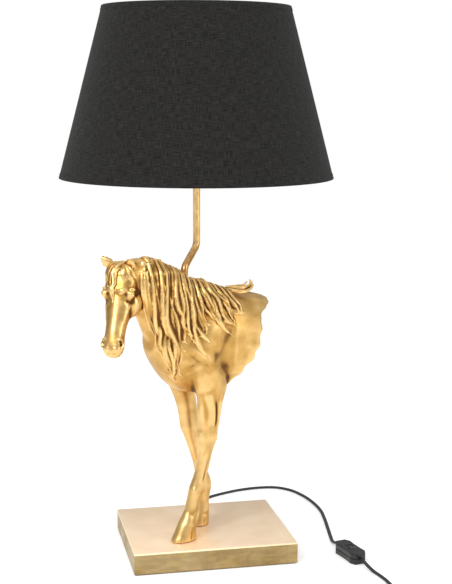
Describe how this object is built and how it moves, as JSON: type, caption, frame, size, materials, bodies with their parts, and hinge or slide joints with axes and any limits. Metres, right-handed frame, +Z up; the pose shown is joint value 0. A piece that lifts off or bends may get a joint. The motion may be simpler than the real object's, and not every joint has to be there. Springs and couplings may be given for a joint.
{
  "type": "table lamp",
  "caption": "Table lamp: gilded casting of a horse's front half on a rectangular plinth, bent pole, tapered fabric shade, flat lead with inline rocker switch and plug.",
  "frame": {"origin": "on the table surface under the axis of the shade", "axes": "+X along the plinth's long side, to the viewer's right; -Y to the viewer; +Z up"},
  "size_m": [0.421, 0.5342, 0.76],
  "materials": {
    "gold_leaf": "antique gold leaf over cast resin, satin with dark patina in the hollows",
    "plinth_leaf": "pale gold leaf over board, satin",
    "pole_gold": "warm gold lacquer on steel tube",
    "steel": "zinc plated",
    "brass": "bright",
    "black_linen": "black linen weave",
    "white_lining": "white laminate",
    "white_wire": "white powder coat",
    "black_plastic": "fine moulded texture",
    "white_plastic": "ceramic white",
    "black_vinyl": "soft satin cable jacket",
    "felt": "dark felt",
    "opal_bulb": "opal"
  },
  "bodies": {
    "lamp": {"base_felt": "felt", "base_block": "plinth_leaf", "conduit_washer": "steel", "conduit_nut": "steel", "stud_washer": "steel", "stud_nut": "steel", "horse_figure": "gold_leaf", "leg_conduit": "steel", "leg_stud": "steel", "pole": "pole_gold", "pole_nut": "steel", "pole_locknut": "brass", "holder_cap": "black_plastic", "holder_skirt": "black_plastic", "holder_insert": "white_plastic", "centre_contact": "brass", "shade_ring": "black_plastic", "bulb_cap": "steel", "bulb_globe": "opal_bulb", "inner_flex": "black_vinyl", "flex_clamp": "black_plastic", "strain_relief": "black_vinyl", "cord_lead": "black_vinyl", "switch_lower": "black_plastic", "switch_upper": "black_plastic", "switch_screw_1": "steel", "switch_screw_2": "steel", "switch_blade_1": "brass", "switch_blade_2": "brass", "cord_tail": "black_vinyl", "cord_coil": "black_vinyl", "plug_body": "black_vinyl", "plug_pin_1": "brass", "plug_pin_2": "brass", "cord_end": "black_vinyl"},
    "shade": {"shade_fabric": "black_linen", "shade_lining": "white_lining", "shade_top_wire": "white_wire", "shade_frame": "white_wire"},
    "rocker": {"switch_rocker": "black_plastic"}
  },
  "joints": [
    {"name": "shade_turn", "type": "hinge", "parent": "lamp", "child": "shade", "pos_m": [0, 0, 0.5875], "axis": [0, 0, 1], "continuous": true},
    {"name": "rocker_press", "type": "hinge", "parent": "lamp", "child": "rocker", "pos_m": [0.204, -0.085, 0.0125], "axis": [0.9763, 0.2164, 0], "range_deg": [0, 20]}
  ]
}
